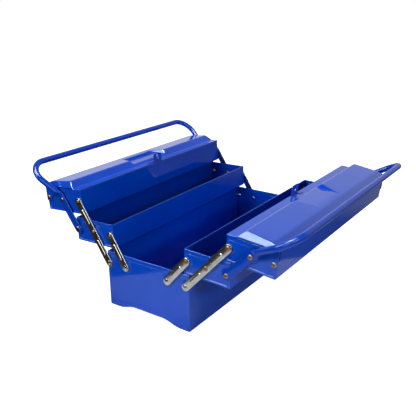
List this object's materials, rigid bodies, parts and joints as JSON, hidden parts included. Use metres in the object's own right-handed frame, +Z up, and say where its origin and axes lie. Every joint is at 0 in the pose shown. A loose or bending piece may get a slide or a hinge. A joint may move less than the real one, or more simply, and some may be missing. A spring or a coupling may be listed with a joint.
{
  "type": "cantilever tool box",
  "caption": "Steel tool box with an open base and trays on folding links that spread sideways, hinged lids over the top trays, and tube handles.",
  "frame": {"origin": "on the floor under the middle of the base", "axes": "+X across the box towards its right half, +Y along it towards its rear end, +Z up"},
  "size_m": [0.6162, 0.5384, 0.2758],
  "materials": {
    "enamel": "glossy blue enamel",
    "zinc": "zinc plated",
    "brass": "bright, yellow"
  },
  "bodies": {
    "base": {"base_shell": "enamel", "base_end_front": "enamel", "base_end_rear": "enamel", "base_rivets": "zinc", "base_washers": "zinc"},
    "left_long_link_front_body": {"left_long_link_front": "zinc"},
    "left_short_link_front_body": {"left_short_link_front": "zinc"},
    "left_long_link_rear_body": {"left_long_link_rear": "zinc"},
    "left_short_link_rear_body": {"left_short_link_rear": "zinc"},
    "left_mid_tray": {"left_mid_tray_shell": "enamel", "left_mid_tray_end_front": "enamel", "left_mid_tray_end_rear": "enamel", "left_mid_tray_rivets": "brass", "left_mid_tray_washers": "zinc"},
    "left_top_tray": {"left_top_tray_shell": "enamel", "left_top_tray_end_front": "enamel", "left_top_tray_end_rear": "enamel", "left_top_tray_rivets": "brass", "left_top_tray_washers": "zinc", "left_lid_rivets": "brass"},
    "left_handle_body": {"left_handle": "enamel"},
    "left_lid_body": {"left_lid": "enamel", "left_padlock_tab": "enamel"},
    "right_long_link_front_body": {"right_long_link_front": "zinc"},
    "right_short_link_front_body": {"right_short_link_front": "zinc"},
    "right_long_link_rear_body": {"right_long_link_rear": "zinc"},
    "right_short_link_rear_body": {"right_short_link_rear": "zinc"},
    "right_mid_tray": {"right_mid_tray_shell": "enamel", "right_mid_tray_end_front": "enamel", "right_mid_tray_end_rear": "enamel", "right_mid_tray_rivets": "brass", "right_mid_tray_washers": "zinc"},
    "right_top_tray": {"right_top_tray_shell": "enamel", "right_top_tray_end_front": "enamel", "right_top_tray_end_rear": "enamel", "right_top_tray_rivets": "brass", "right_top_tray_washers": "zinc", "right_lid_rivets": "brass"},
    "right_handle_body": {"right_handle": "enamel"},
    "right_lid_body": {"right_lid": "enamel", "right_padlock_tab": "enamel"}
  },
  "joints": [
    {"name": "left_fold", "type": "hinge", "parent": "base", "child": "left_long_link_front_body", "pos_m": [-0.0942, 0, 0.095], "axis": [0, 1, 0], "range_deg": [-9.2, 71.46]},
    {"name": "left_long_link_rear_turn", "type": "hinge", "parent": "base", "child": "left_long_link_rear_body", "pos_m": [-0.0942, 0, 0.095], "axis": [0, 1, 0], "range_deg": [-9.2, 71.47]},
    {"name": "left_short_link_front_turn", "type": "hinge", "parent": "base", "child": "left_short_link_front_body", "pos_m": [-0.0513, 0, 0.095], "axis": [0, 1, 0], "range_deg": [-9.11, 70.73]},
    {"name": "left_short_link_rear_turn", "type": "hinge", "parent": "base", "child": "left_short_link_rear_body", "pos_m": [-0.0513, 0, 0.095], "axis": [0, 1, 0], "range_deg": [-9.11, 70.73]},
    {"name": "left_mid_tray_level", "type": "hinge", "parent": "left_long_link_front_body", "child": "left_mid_tray", "pos_m": [-0.13116, 0, 0.15148], "axis": [0, 1, 0], "range_deg": [-69.56, 8.96]},
    {"name": "left_top_tray_level", "type": "hinge", "parent": "left_long_link_front_body", "child": "left_top_tray", "pos_m": [-0.16812, 0, 0.20796], "axis": [0, 1, 0], "range_deg": [-66.7, 8.59]},
    {"name": "left_handle_turn", "type": "hinge", "parent": "left_mid_tray", "child": "left_handle_body", "pos_m": [-0.17384, 0, 0.15018], "axis": [0, 1, 0], "range_deg": [-9.12, 70.82]},
    {"name": "left_lid_hinge", "type": "hinge", "parent": "left_top_tray", "child": "left_lid_body", "pos_m": [-0.25524, 0, 0.20102], "axis": [0, -1, 0], "range_deg": [0, 70]},
    {"name": "right_fold", "type": "hinge", "parent": "base", "child": "right_long_link_front_body", "pos_m": [0.0942, 0, 0.095], "axis": [0, -1, 0], "range_deg": [0, 80.66]},
    {"name": "right_long_link_rear_turn", "type": "hinge", "parent": "base", "child": "right_long_link_rear_body", "pos_m": [0.0942, 0, 0.095], "axis": [0, -1, 0], "range_deg": [0, 80.66]},
    {"name": "right_short_link_front_turn", "type": "hinge", "parent": "base", "child": "right_short_link_front_body", "pos_m": [0.0513, 0, 0.095], "axis": [0, -1, 0], "range_deg": [0, 79.66]},
    {"name": "right_short_link_rear_turn", "type": "hinge", "parent": "base", "child": "right_short_link_rear_body", "pos_m": [0.0513, 0, 0.095], "axis": [0, -1, 0], "range_deg": [0, 79.66]},
    {"name": "right_mid_tray_level", "type": "hinge", "parent": "right_long_link_front_body", "child": "right_mid_tray", "pos_m": [0.13972, 0, 0.14485], "axis": [0, -1, 0], "range_deg": [-78.22, 0]},
    {"name": "right_top_tray_level", "type": "hinge", "parent": "right_long_link_front_body", "child": "right_top_tray", "pos_m": [0.18523, 0, 0.19469], "axis": [0, -1, 0], "range_deg": [-74.62, 0]},
    {"name": "right_handle_turn", "type": "hinge", "parent": "right_mid_tray", "child": "right_handle_body", "pos_m": [0.18238, 0, 0.14323], "axis": [0, -1, 0], "range_deg": [0, 79.94]},
    {"name": "right_lid_hinge", "type": "hinge", "parent": "right_top_tray", "child": "right_lid_body", "pos_m": [0.27221, 0, 0.18611], "axis": [0, 1, 0], "range_deg": [0, 70]}
  ],
  "couplings": [
    {"joint": "left_long_link_rear_turn", "follows": "left_fold", "ratio": 1},
    {"joint": "left_short_link_front_turn", "follows": "left_fold", "ratio": 0.98971},
    {"joint": "left_short_link_rear_turn", "follows": "left_fold", "ratio": 0.98971},
    {"joint": "left_mid_tray_level", "follows": "left_fold", "ratio": -0.97329},
    {"joint": "left_top_tray_level", "follows": "left_fold", "ratio": -0.93328},
    {"joint": "left_handle_turn", "follows": "left_fold", "ratio": 0.99091},
    {"joint": "right_long_link_rear_turn", "follows": "right_fold", "ratio": 1},
    {"joint": "right_short_link_front_turn", "follows": "right_fold", "ratio": 0.98752},
    {"joint": "right_short_link_rear_turn", "follows": "right_fold", "ratio": 0.98752},
    {"joint": "right_mid_tray_level", "follows": "right_fold", "ratio": -0.96972},
    {"joint": "right_top_tray_level", "follows": "right_fold", "ratio": -0.92503},
    {"joint": "right_handle_turn", "follows": "right_fold", "ratio": 0.99102}
  ]
}
